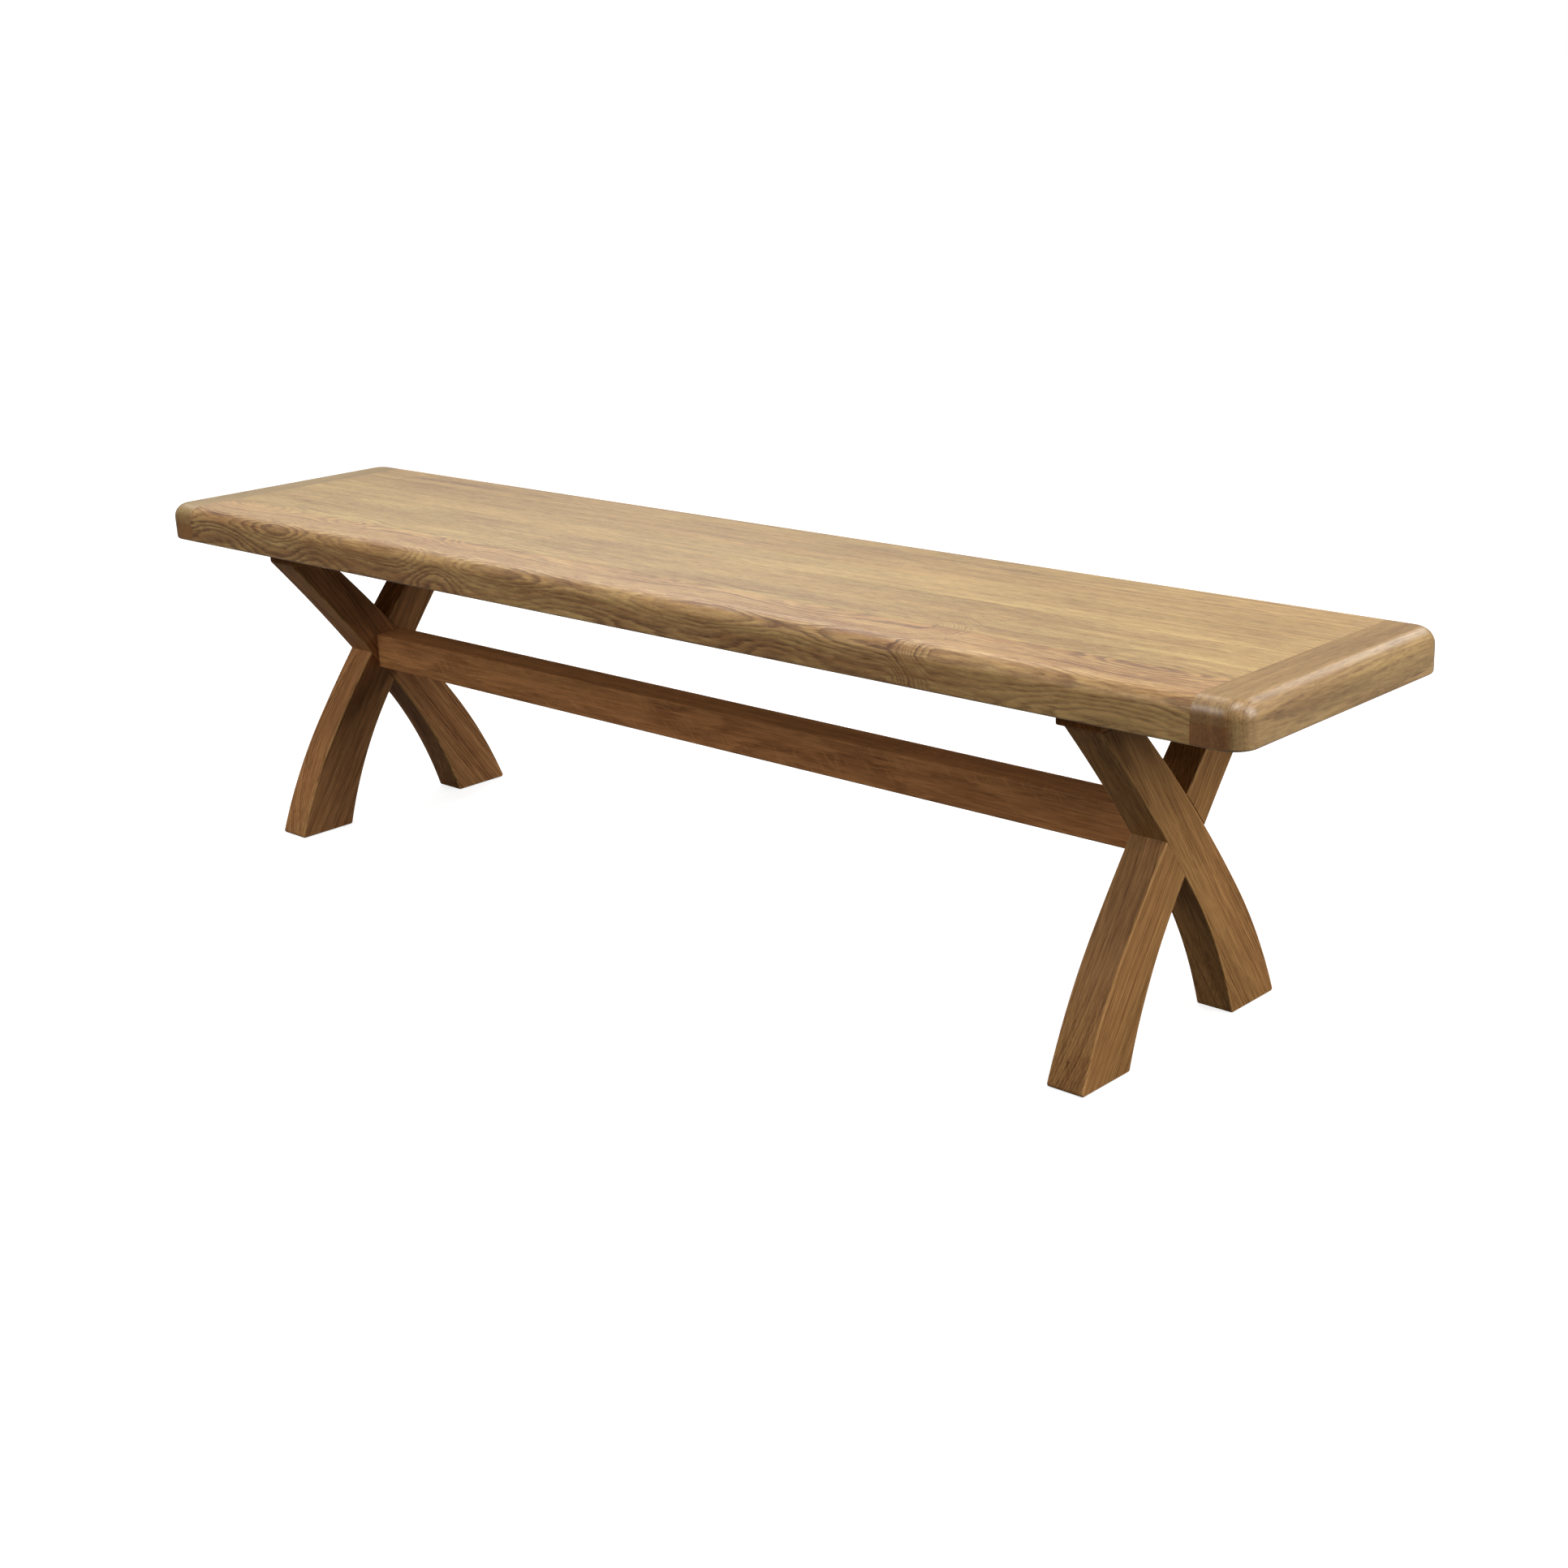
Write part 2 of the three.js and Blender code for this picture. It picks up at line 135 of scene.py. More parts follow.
def growth_rings_group():
    """Yearly rings round a pith that sways along the log. The open wood that starts each is dark."""
    # Features to the metre, along the grain, across it and through it
    sway_across, sway_through = (3.3, 0, 0), (-2.7, 0, 0)
    curling, patches = (6, 28, 28), (4, 26, 26)
    feathering, fine_feathering = (16, 190, 190), (45, 700, 700)
    # How far the edge of a line is feathered, in rings, and how far and how fast the rings' spacing strays
    feather, fine_feather = 0.75, 0.6
    stray, stray_pace = 1.8, 0.31
    # The shares of a ring at which its dark line has faded and the next one starts
    line_end, line_start = 0.7, 0.82
    # The least strength of a ring's line, what chance adds, and what is left of it in a faint patch
    least_strength, chance_strength = 0.35, 0.5
    faint_share = 0.35
    # The noise below which a line is faint, and above which it is clear
    faint_noise, clear_noise = 0.25, 0.62

    group, given, output = open_group(
        "Growth rings",
        {"Place": "Vector", "Pith Y": "Float", "Pith Z": "Float", "Ring Width": "Float", "Sway": "Float",
         "Curl": "Float", "Swell": "Float", "Seed": "Float"},
        {"Line": "Float", "Tone": "Float"},
    )
    place = moved_by_seed(group, given, (3.1, 1.7, 2.3))
    part = add_node(group, "SeparateXYZ", given["Place"]).outputs

    def from_zero(stretch, detail=2.0):
        return sums(group, "SUBTRACT", noise(group, place, stretch, detail), 0.5)

    across = sums(group, "SUBTRACT", part["Y"], given["Pith Y"])
    through = sums(group, "SUBTRACT", part["Z"], given["Pith Z"])
    across = sums(group, "MULTIPLY_ADD", from_zero(sway_across, 1.0), given["Sway"], across)
    through = sums(group, "MULTIPLY_ADD", from_zero(sway_through, 1.0), given["Sway"], through)
    squares = sums(group, "MULTIPLY_ADD", across, across, sums(group, "MULTIPLY", through, through))
    distance = sums(group, "ADD", sums(group, "SQRT", squares), given["Swell"])
    distance = sums(group, "MULTIPLY_ADD", from_zero(curling, 3.0), given["Curl"], distance)
    count = sums(group, "DIVIDE", distance, given["Ring Width"])
    feathered = sums(group, "MULTIPLY_ADD", from_zero(feathering, 3.0), feather, count)
    feathered = sums(group, "MULTIPLY_ADD", from_zero(fine_feathering), fine_feather, feathered)
    slow_count = sums(group, "MULTIPLY", count, stray_pace)
    slow_place = add_node(group, "CombineXYZ", slow_count, given["Seed"], 0.0).outputs[0]
    uneven = sums(group, "MULTIPLY_ADD", noise(group, slow_place, (1, 1, 1), 0.0), stray, feathered)
    ring_share = sums(group, "FRACT", uneven)
    ring_number = sums(group, "ADD", sums(group, "FLOOR", uneven), given["Seed"])
    chance = add_node(group, "TexWhiteNoise", None, ring_number, noise_dimensions="1D").outputs[0]
    fading = sums(group, "SUBTRACT", 1.0, step_between(group, ring_share, 0.0, line_end))
    line = sums(group, "MAXIMUM", fading, step_between(group, ring_share, line_start, 1.0))
    strength = sums(group, "MULTIPLY_ADD", chance, chance_strength, least_strength)
    clear = step_between(group, noise(group, place, patches), faint_noise, clear_noise)
    clear = sums(group, "MULTIPLY_ADD", clear, 1 - faint_share, faint_share)
    line = sums(group, "MULTIPLY", line, sums(group, "MULTIPLY", strength, clear))
    return close_group(group, output, {"Line": line, "Tone": chance})


def fibres_group():
    """Pores drawn out along the grain, denser in the open wood, and the fibre and streaks between."""
    # Each kind of pore: its features to the metre along, across and through the grain, the detail of its
    # noise, the noise at which it starts and is full, and how deep it is
    pore_kinds = (
        ((28, 620, 620), 2.0, 0.55, 0.72, 1.0),
        ((90, 1500, 1500), 1.0, 0.54, 0.7, 0.7),
        ((75, 400, 400), 2.0, 0.54, 0.68, 0.8),
    )
    fibre, streak, cloud, blush = (38, 320, 320), (6.5, 62, 62), (2.2, 11, 11), (-2.6, 24, 24)
    # How dense the pores are between the rings' lines, and what a line adds
    plain_density, line_density = 0.4, 0.8
    # The noise at which the blush starts and is full
    blush_start, blush_full = 0.38, 0.62

    group, given, output = open_group(
        "Fibres and pores",
        {"Place": "Vector", "Line": "Float", "Seed": "Float"},
        {"Pores": "Float", "Fibre": "Float", "Streak": "Float", "Cloud": "Float", "Blush": "Float"},
    )
    place = moved_by_seed(group, given, (1.9, 2.7, 1.3))
    pores = 0.0
    for stretch, detail, start, full, depth in pore_kinds:
        kind = step_between(group, noise(group, place, stretch, detail), start, full)
        pores = sums(group, "MAXIMUM", pores, sums(group, "MULTIPLY", kind, depth))
    density = sums(group, "MULTIPLY_ADD", given["Line"], line_density, plain_density)
    return close_group(group, output, {
        "Pores": sums(group, "MULTIPLY", pores, density),
        "Fibre": noise(group, place, fibre, 4.0, 0.7),
        "Streak": noise(group, place, streak, 5.0, 0.62),
        "Cloud": noise(group, place, cloud),
        "Blush": step_between(group, noise(group, place, blush, 3.0), blush_start, blush_full),
    })


def oak_finish_group():
    """Stained and lacquered oak: colour, roughness and relief from the masks of its figure."""
    # How much each mask deepens the colour
    streak_depth, cloud_depth, fibre_depth, ring_depth = 2.9, 1.8, 2.3, 0.25
    # What the blush, the pores and the cut ends make of the colour under them
    blush_tint, pore_tint, end_tint = tint(255, 250, 251), tint(170, 155, 145), tint(226, 188, 148)
    # The roughness of the smoothest wood, and what the fibre and the pores add to it
    smoothest, fibre_roughness, pore_roughness = 0.4, 0.14, 0.15
    # The relief of the fibre and of a ring's line, where a pore's is 1
    fibre_relief, line_relief = 0.3, 0.25

    group, given, output = open_group(
        "Oak finish",
        {"Pale": "Color", "Deep": "Color", "Line Colour": "Color", "Line": "Float",
         "Line Strength": "Float", "Tone": "Float", "Pores": "Float", "Pore Strength": "Float",
         "Fibre": "Float", "Streak": "Float", "Cloud": "Float", "Blush": "Float", "Variety": "Float",
         "End": "Float", "Fleck": "Float"},
        {"Colour": "Color", "Roughness": "Float", "Height": "Float"},
    )

    def from_half(mask, weight):
        return sums(group, "MULTIPLY", sums(group, "SUBTRACT", given[mask], 0.5), weight)

    def stained(colour, stain):
        return mixed(group, 1.0, colour, stain, "MULTIPLY")

    streak = sums(group, "MULTIPLY", from_half("Streak", streak_depth), given["Variety"])
    cloud = sums(group, "MULTIPLY", from_half("Cloud", cloud_depth), given["Variety"])
    broad = sums(group, "ADD", cloud, from_half("Tone", ring_depth))
    fine = sums(group, "ADD", streak, from_half("Fibre", fibre_depth))
    depth = sums(group, "ADD", fine, broad)
    ground = mixed(group, sums(group, "ADD", depth, 0.5), given["Pale"], given["Deep"])
    ground = mixed(group, given["Blush"], ground, stained(ground, blush_tint))
    line = sums(group, "MULTIPLY", given["Line"], given["Line Strength"])
    lined = mixed(group, line, ground, given["Line Colour"])
    pores = sums(group, "MULTIPLY", given["Pores"], given["Pore Strength"])
    pored = mixed(group, pores, lined, stained(given["Line Colour"], pore_tint))
    flecked = mixed(group, given["Fleck"], pored, given["Pale"])
    ended = mixed(group, given["End"], flecked, stained(flecked, end_tint))
    raised = sums(group, "MULTIPLY", given["Fibre"], fibre_relief)
    relief = sums(group, "SUBTRACT", raised, given["Pores"])
    height = sums(group, "SUBTRACT", relief, sums(group, "MULTIPLY", given["Line"], line_relief))
    roughness = sums(group, "MULTIPLY_ADD", given["Fibre"], fibre_roughness, smoothest)
    roughness = sums(group, "MULTIPLY_ADD", given["Pores"], pore_roughness, roughness)
    return close_group(group, output, {"Colour": ended, "Roughness": roughness, "Height": height})


growth_rings = growth_rings_group()
fibres = fibres_group()
oak_finish = oak_finish_group()


def placed_group(tree, group, **sources):
    """A copy of a group in a material. Its inputs are named with underscores for spaces."""
    made = tree.nodes.new("ShaderNodeGroup")
    made.node_tree = group
    for name, source in sources.items():
        socket = made.inputs[name.replace("_", " ")]
        if isinstance(source, bpy.types.NodeSocket):
            tree.links.new(source, socket)
        else:
            socket.default_value = source
    return made.outputs


def empty_material(name):
    material = bpy.data.materials.new(name)
    material.use_nodes = True
    material.node_tree.nodes.clear()
    return material, material.node_tree


def measured_along(tree, vector, way):
    """How far a vector reaches along a direction."""
    return add_node(tree, "VectorMath", vector, tuple(way), operation="DOT_PRODUCT").outputs["Value"]


def along_grain(tree, along, across):
    """The place on the piece, measured along its grain first, then across and through it."""
    through = Vector(along).cross(Vector(across))
    point = add_node(tree, "TexCoord").outputs["Object"]
    parts = [measured_along(tree, point, way) for way in (along, across, through)]
    return add_node(tree, "CombineXYZ", *parts).outputs[0]


def end_grain(tree, along, strength):
    """Where a face looks along the grain, and so shows the cut ends of the fibres."""
    side_facing, end_facing = 0.8, 0.99
    normal = add_node(tree, "NewGeometry").outputs["Normal"]
    facing = sums(tree, "ABSOLUTE", measured_along(tree, normal, along))
    return sums(tree, "MULTIPLY", step_between(tree, facing, side_facing, end_facing), strength)


relief_strength = 0.2
relief_depth = 0.0006
haze_roughness = 0.45


def oak(name, pale, deep, line, pith, ring_width, seed, along=(1, 0, 0), across=(0, 1, 0), sway=0.01,
        curl=0.003, line_strength=0.4, pore_strength=0.55, variety=0.6, fibre_length=1.0,
        end_strength=0.0, swell=None, fleck=None, knot=None, shine=0.35, haze=0.25, lacquer=0.08,
        lacquer_roughness=0.48):
    """One board's oak. pith is where its log's middle runs, across and through the board, in metres."""
    material, tree = empty_material(name)
    place = along_grain(tree, along, across)
    rings = placed_group(
        tree, growth_rings, Place=place, Pith_Y=pith[0], Pith_Z=pith[1], Ring_Width=ring_width,
        Sway=sway, Curl=curl, Swell=swell(tree, place) if swell else 0.0, Seed=seed)
    line_mask = sums(tree, "MAXIMUM", rings["Line"], knot(tree)) if knot else rings["Line"]
    drawn_out = add_node(tree, "VectorMath", place, (1 / fibre_length, 1, 1), operation="MULTIPLY")
    figure = placed_group(tree, fibres, Place=drawn_out.outputs[0], Line=line_mask, Seed=seed)
    finish = placed_group(
        tree, oak_finish, Pale=pale, Deep=deep, Line_Colour=line, Line=line_mask, Tone=rings["Tone"],
        Line_Strength=line_strength, Pores=figure["Pores"], Pore_Strength=pore_strength,
        Fibre=figure["Fibre"], Streak=figure["Streak"], Cloud=figure["Cloud"], Blush=figure["Blush"],
        Variety=variety, End=end_grain(tree, along, end_strength),
        Fleck=fleck(tree, place) if fleck else 0.0)
    bump = add_node(tree, "Bump", relief_strength, relief_depth)
    tree.links.new(finish["Height"], bump.inputs["Height"])
    surface = add_node(tree, "BsdfPrincipled")
    surface.inputs["Specular IOR Level"].default_value = shine
    surface.inputs["Coat Weight"].default_value = lacquer
    surface.inputs["Coat Roughness"].default_value = lacquer_roughness
    surface.inputs["Sheen Weight"].default_value = haze
    surface.inputs["Sheen Roughness"].default_value = haze_roughness
    tree.links.new(finish["Colour"], surface.inputs["Base Color"])
    tree.links.new(finish["Roughness"], surface.inputs["Roughness"])
    tree.links.new(bump.outputs[0], surface.inputs["Normal"])
    tree.links.new(surface.outputs[0], add_node(tree, "OutputMaterial").inputs[0])
    return material


def quarter_turns(steps):
    """The angles of a quarter round."""
    return [step / steps * math.pi / 2 for step in range(steps + 1)]


def rounded_plan(inset):
    """The seat's outline seen from above, drawn in by an inset."""
    points = []
    radius = seat_corner_radius - inset
    centre = (seat_low + seat_high) / 2
    reach = (seat_high - seat_low) / 2 - Vector((seat_corner_radius, seat_corner_radius, 0))
    for quarter, (side_x, side_y) in enumerate(((1, 1), (-1, 1), (-1, -1), (1, -1))):
        for quarter_turn in quarter_turns(seat_corner_steps):
            turn = quarter * math.pi / 2 + quarter_turn
            x = centre.x + side_x * reach.x + radius * math.cos(turn)
            y = centre.y + side_y * reach.y + radius * math.sin(turn)
            points.append((x, y))
    return points


def edge_rows():
    """How far in and how high the seat's edge is worked, from its underside to its top."""
    rows = []
    for turn in quarter_turns(seat_arris_steps):
        inset = seat_lower_arris * (1 - math.sin(turn))
        rows.append((inset, seat_low.z + seat_lower_arris * (1 - math.cos(turn))))
    for turn in quarter_turns(seat_edge_steps):
        inset = seat_edge_radius * (1 - math.cos(turn))
        rows.append((inset, seat_high.z - seat_edge_radius * (1 - math.sin(turn))))
    return rows


def whole_seat():
    """The seat as one slab, worked all round."""
    slab = bmesh.new()
    rings = []
    for inset, level in edge_rows():
        rings.append([slab.verts.new((x, y, level)) for x, y in rounded_plan(inset)])
    for low, high in zip(rings, rings[1:]):
        for near in range(len(low)):
            following = (near + 1) % len(low)
            slab.faces.new((low[near], low[following], high[following], high[near]))
    slab.faces.new(list(reversed(rings[0])))
    slab.faces.new(rings[-1])
    return slab


def sawn_from(solid, low, high):
    """What is left of a solid between two corners, its cut faces closed. None saws nothing off."""
    part = solid.copy()
    for axis in range(3):
        for corner, sign in ((low, -1), (high, 1)):
            if corner[axis] is None:
                continue
            face = Vector((0, 0, 0))
            face[axis] = corner[axis]
            normal = Vector((0, 0, 0))
            normal[axis] = sign
            everything = part.verts[:] + part.edges[:] + part.faces[:]
            bmesh.ops.bisect_plane(
                part, geom=everything, plane_co=face, plane_no=normal, clear_outer=True)
            bmesh.ops.holes_fill(part, edges=[edge for edge in part.edges if edge.is_boundary])
    return part


# Faces that meet at less than the crease angle flow into each other. Where a piece has an arris, its edges
# over the arris angle are eased.
crease_angle = math.radians(32)
arris_angle = math.radians(50)


def finished_piece(name, solid, material, arris=0.0):
    """A worked piece, in the place of the node that has its name."""
    mesh = bpy.data.meshes.new(name)
    bmesh.ops.recalc_face_normals(solid, faces=solid.faces)
    solid.to_mesh(mesh)
    solid.free()
    mesh.materials.append(material)
    mesh.shade_smooth()
    mesh.set_sharp_from_angle(angle=crease_angle)
    made = bpy.data.objects.new(name, mesh)
    bpy.context.scene.collection.objects.link(made)
    if arris:
        eased = made.modifiers.new("Eased arrises", "BEVEL")
        eased.width = arris
        eased.segments = 1
        eased.limit_method = "ANGLE"
        eased.angle_limit = arris_angle
    made.modifiers.new("Flat faces stay flat", "WEIGHTED_NORMAL").keep_sharp = True
    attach(made, "root")
    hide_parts(name)
    return made


# Each oval in the front rail's figure is where its rings swell towards the face: its middle, half its
# length and how far it swells. Along the ripple the rings step back.
rail_ovals = ((-0.76, 0.09, 0.009), (-0.545, 0.05, 0.005), (-0.29, 0.05, 0.008), (-0.02, 0.12, 0.006),
              (0.3, 0.07, 0.004), (0.74, 0.1, 0.007))
rail_ripple = (0.45, 0.515)
rail_ripple_depth = 0.019


def front_rail_swell(tree, place):
    x = add_node(tree, "SeparateXYZ", place).outputs["X"]
    total = sums(tree, "MULTIPLY", step_between(tree, x, *rail_ripple), rail_ripple_depth)
    for middle, half_length, depth in rail_ovals:
        share = sums(tree, "DIVIDE", sums(tree, "SUBTRACT", x, middle), half_length)
        squared = sums(tree, "MULTIPLY", share, share)
        bell = sums(tree, "EXPONENT", sums(tree, "MULTIPLY", squared, -1.0))
        total = sums(tree, "SUBTRACT", total, sums(tree, "MULTIPLY", bell, depth))
    return total


honey = tint(205, 172, 106)
toffee = tint(159, 124, 69)
amber = tint(210, 171, 108)
russet = tint(165, 119, 67)
tawny = tint(200, 164, 100)
walnut_line = tint(104, 66, 36)
russet_line = tint(94, 52, 26)

seat_blank = whole_seat()
left_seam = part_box("left_cleat_upper")[1].x
right_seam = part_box("right_cleat_upper")[0].x

# The rail at the front and the stave behind it come from one log, so the ovals and the ripple run on
# from one into the other
front_log = {"pith": (-0.121, 0.4), "ring_width": 0.0022, "seed": 1.0, "sway": 0.006, "curl": 0.007,
             "variety": 0.8, "swell": front_rail_swell}
seat_board_oak = {
    "seat_front_rail": oak("Front rail oak", amber, russet, russet_line, line_strength=1.0, **front_log),
    "seat_stave_1": oak("Stave oak 1", honey, toffee, walnut_line, line_strength=0.6, **front_log),
    "seat_stave_2": oak(
        "Stave oak 2", honey, toffee, walnut_line, pith=(0.06, 0.3), ring_width=0.0024, seed=3.0),
    "seat_stave_3": oak(
        "Stave oak 3", honey, toffee, walnut_line, pith=(-0.09, 0.34), ring_width=0.0028, seed=4.0),
    "seat_stave_4": oak(
        "Stave oak 4", tawny, toffee, walnut_line, pith=(0.062, 0.41), ring_width=0.0025, seed=5.0,
        line_strength=0.6),
    "seat_back_rail": oak(
        "Back rail oak", tawny, toffee, walnut_line, pith=(0.14, 0.37), ring_width=0.0022, seed=6.0,
        sway=0.006, line_strength=0.7),
}
for board, board_oak in seat_board_oak.items():
    board_low, board_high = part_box(board)
    front = board_low.y if board_low.y > seat_low.y + seat_corner_radius else None
    back = board_high.y if board_high.y < seat_high.y - seat_corner_radius else None
    sawn = sawn_from(seat_blank, (left_seam, front, None), (right_seam, back, None))
    finished_piece(board, sawn, board_oak, arris=glue_line)


# End cleats
# A cleat closes each end of the seat and keeps it flat. Each is two laminations thick, with the grain
# across the seat, so that its short faces show end grain, which takes the stain darker in the lower one.

# The pale and deep tints of the two cleats. The left one is given paler tints.
cleat_tints = {
    "left": (tint(203, 174, 119), tint(163, 133, 84)),
    "right": (tint(186, 152, 98), tint(148, 115, 68)),
}
cleat_line = tint(102, 66, 36)
cleat_pith = {"left": (-0.9, 0.3), "right": (0.9, 0.3)}
cleat_seeds = {"left": 11.0, "right": 13.0}
lamination_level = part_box("right_cleat_lower")[1].z
# The faces between which each lamination is sawn, and how dark its end grain is
cleat_layers = (("lower", None, lamination_level, 1.0), ("upper", lamination_level, None, 0.6))

for side in ("left", "right"):
    inner, outer = (None, left_seam) if side == "left" else (right_seam, None)
    for layer, low, high, end_strength in cleat_layers:
        cleat_oak = oak(
            f"{side} {layer} cleat oak", *cleat_tints[side], cleat_line, pith=cleat_pith[side],
            ring_width=0.0025, seed=cleat_seeds[side], along=(0, 1, 0), across=(-1, 0, 0),
            end_strength=end_strength, haze=0.12, lacquer=0.85, lacquer_roughness=0.36)
        sawn = sawn_from(seat_blank, (inner, None, low), (outer, None, high))
        finished_piece(f"{side}_cleat_{layer}", sawn, cleat_oak)
seat_blank.free()


# Tongues
# Loose tongues of bare oak, glued into grooves in the board ends and the cleats. They are closed in all
# round, so nothing of them shows.

tongue_oak = oak(
    "Bare tongue oak", tint(206, 172, 122), tint(184, 146, 96), tint(150, 112, 70), pith=(0.3, 0.2),
    ring_width=0.002, seed=21.0, along=(0, 1, 0), across=(-1, 0, 0))
for side in ("left", "right"):
    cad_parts[f"{side}_cleat_tongue"].data.materials[0] = tongue_oak


# Legs
# Sawn from thick oak to a sweeping curve that flattens towards the top, with the grain running up each
# leg. Two cross in a halving joint at each end, whose arrises stay sharp. All the others are eased.

leg_low, leg_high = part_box("right_leg_back_foot")
leg_middle = (leg_low.x + leg_high.x) / 2
leg_arris = 0.002
joint_gap = 0.00015
joint_bottom, joint_top = 0.16, 0.3
foot_fillet = 0.003
foot_spread = 0.363
foot_width = 0.0845
leg_edge_steps = 40
foot_fillet_steps = 4
timber_arris_steps = 3
overrun = 0.005
# The lean of a long edge at the foot, the turn of its lower sweep, and the radii of its two sweeps
back_edge_sweeps = (math.radians(69), math.radians(14.6), 0.680, 2.070)
front_edge_sweeps = (math.radians(73.6), math.radians(18.1), 0.568, 2.500)


def square_to_edge(lean):
    """The unit step out of an edge, square to it. The lean is the angle between edge and floor."""
    return Vector((math.sin(lean), math.cos(lean)))


class SweptEdge:
    """A long edge of a leg in two arcs that flow into each other, looked up by its lean."""

    def __init__(self, foot_y, foot_lean, sweep, lower_radius, upper_radius):
        self.join = foot_lean - sweep
        self.lower_radius = lower_radius
        self.upper_radius = upper_radius
        self.lower_centre = Vector((foot_y, 0)) - lower_radius * square_to_edge(foot_lean)
        self.upper_centre = self.lower_centre - (upper_radius - lower_radius) * square_to_edge(self.join)

    def point(self, lean, out=0.0):
        if lean > self.join:
            return self.lower_centre + (self.lower_radius + out) * square_to_edge(lean)
        return self.upper_centre + (self.upper_radius + out) * square_to_edge(lean)

    def lean_at(self, level):
        upper = math.acos((level - self.upper_centre.y) / self.upper_radius)
        lower = math.acos((level - self.lower_centre.y) / self.lower_radius)
        return lower if upper > self.join else upper

    def run(self, low, high, out=0.0):
        start, end = self.lean_at(low), self.lean_at(high)
        points = []
        for step in range(leg_edge_steps + 1):
            points.append(self.point(start + (end - start) * step / leg_edge_steps, out))
        return points


back_edge = SweptEdge(foot_spread / 2, *back_edge_sweeps)
front_edge = SweptEdge(foot_spread / 2 - foot_width, *front_edge_sweeps)


def rounded_corner(corner, before, after, radius):
    """A corner of an outline replaced by an arc, as points from its first side to its second."""
    first, second = (before - corner).normalized(), (after - corner).normalized()
    half = first.angle(second) / 2
    centre = corner + (first + second).normalized() * radius / math.sin(half)
    start = corner + first * radius / math.tan(half)
    end = corner + second * radius / math.tan(half)
    points = []
    for step in range(foot_fillet_steps + 1):
        chord = start.lerp(end, step / foot_fillet_steps) - centre
        points.append(centre + chord.normalized() * radius)
    return points


def leg_outline():
    """A leg from its foot at the back, up its back edge to the top, and down its front edge."""
    up = back_edge.run(2 * foot_fillet, leg_high.z)
    down = list(reversed(front_edge.run(2 * foot_fillet, leg_high.z)))
    back_corner = back_edge.point(back_edge.lean_at(0))
    front_corner = front_edge.point(front_edge.lean_at(0))
    back_foot = rounded_corner(back_corner, front_corner, up[0], foot_fillet)
    front_foot = rounded_corner(front_corner, down[-1], back_corner, foot_fillet)
    return back_foot + up + down + front_foot


def joint_outline():
    """The leg round the crossing only, a hair wider, to cut the shoulders of the leg that it crosses."""
    up = back_edge.run(joint_bottom, joint_top, joint_gap)
    return up + list(reversed(front_edge.run(joint_bottom, joint_top, -joint_gap)))


def mirrored(points):
    return [Vector((-point.x, point.y)) for point in reversed(points)]


def sawn_along_x(points, low_x, high_x):
    """An outline in Y and Z, sawn out of timber that lies between two faces."""
    solid = bmesh.new()
    near = [solid.verts.new((low_x, point.x, point.y)) for point in points]
    far = [solid.verts.new((high_x, point.x, point.y)) for point in points]
    for number in range(len(points)):
        following = (number + 1) % len(points)
        solid.faces.new((near[number], near[following], far[following], far[number]))
    solid.faces.new(list(reversed(near)))
    solid.faces.new(far)
    bmesh.ops.recalc_face_normals(solid, faces=solid.faces)
    return solid


# An edge is sharp over this angle. It is flush where it lies within the slack of another piece's level.
sharp_angle = math.radians(40)
flush_slack = 0.00025


def ease_arrises(solid, width, flush_level=None, material_index=-1):
    """Sharp edges eased, apart from those at the level where another piece lies flush on this one."""
    def is_flush(edge):
        if flush_level is None:
            return False
        return all(abs(vert.co.z - flush_level) < flush_slack for vert in edge.verts)

    sharp = [edge for edge in solid.edges if edge.calc_face_angle(0) > sharp_angle]
    sharp = [edge for edge in sharp if not is_flush(edge)]
    bmesh.ops.bevel(solid, geom=sharp, offset=width, segments=timber_arris_steps, affect="EDGES",
                    profile=0.5, material=material_index)
    return solid


def cut_away(solid, cutter):
    """A solid with a cutter's space taken out of it."""
    holders = []
    for name, part in (("cut piece", solid), ("cutter", cutter)):
        mesh = bpy.data.meshes.new(name)
        part.to_mesh(mesh)
        part.free()
        holders.append(bpy.data.objects.new(name, mesh))
        bpy.context.scene.collection.objects.link(holders[-1])
    cut = holders[0].modifiers.new("Cut", "BOOLEAN")
    cut.object = holders[1]
    cut.operation = "DIFFERENCE"
    cut.solver = "EXACT"
    bpy.context.view_layer.update()
    result = bmesh.new()
    result.from_mesh(holders[0].evaluated_get(bpy.context.evaluated_depsgraph_get()).to_mesh())
    for holder in holders:
        bpy.data.meshes.remove(holder.data)
    return result


# Pale and deep tints of the legs, and paler ones on the eased arrises: a painted highlight along each edge.
leg_tints = {
    "right": (tint(195, 146, 89), tint(144, 103, 59)),
    # The left frame's paler tints are painted light that brightens its shaded faces.
    "left": (tint(215, 158, 102), tint(160, 111, 68)),
}
arris_highlight_tints = (tint(222, 174, 112), tint(178, 130, 76))
leg_line = tint(84, 42, 18)
leg_line_strength = {"right": 0.6, "left": 0.85}
leg_pith = {"right": (1.03, 0.46), "left": (-1.03, 0.46)}
leg_seeds = {
    "right_leg_front_foot": 31.0,
    "right_leg_back_foot": 32.0,
    "left_leg_front_foot": 33.0,
    "left_leg_back_foot": 34.0,
}
leg_grain_lean = math.radians(56)
knot_centre = (0.673, -0.17, 0.028)
knot_size = (0.0022, 0.004, 0.0045)
knot_raggedness = 2.4


